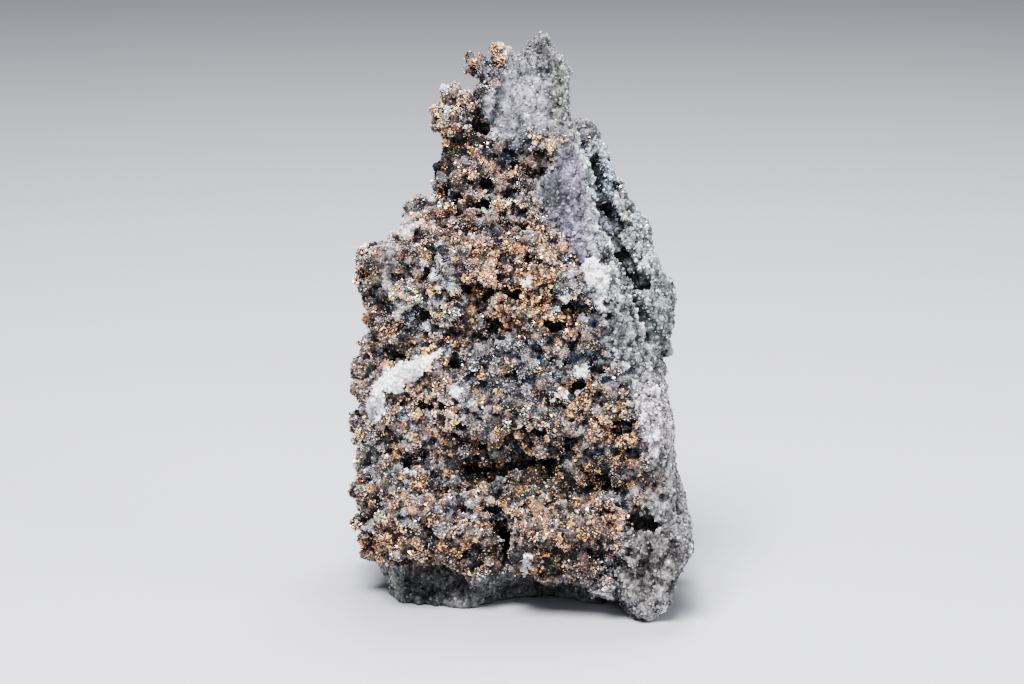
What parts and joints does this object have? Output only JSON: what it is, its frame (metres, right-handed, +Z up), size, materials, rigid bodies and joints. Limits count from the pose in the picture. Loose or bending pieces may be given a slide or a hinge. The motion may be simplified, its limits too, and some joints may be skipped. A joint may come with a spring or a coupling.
{
  "type": "native silver specimen",
  "caption": "Free-standing lump of native silver: a knobbly crust of tarnished silver crystals grown over a tapering slab of grey rock, hollow under its front edge.",
  "frame": {"origin": "centre of the bounding box's base, on the plane the specimen stands on", "axes": "+Z up through the peak, +X to the right along the crusted face, +Y from the crusted face towards the back"},
  "size_m": [0.0238, 0.0188, 0.0394],
  "materials": {
    "silver_on_rock": "rough broken rock with a grainy crust of tarnished silver, glinting copper-gold on its crystal faces"
  },
  "bodies": {
    "root": {"native_silver": "silver_on_rock"}
  },
  "joints": []
}
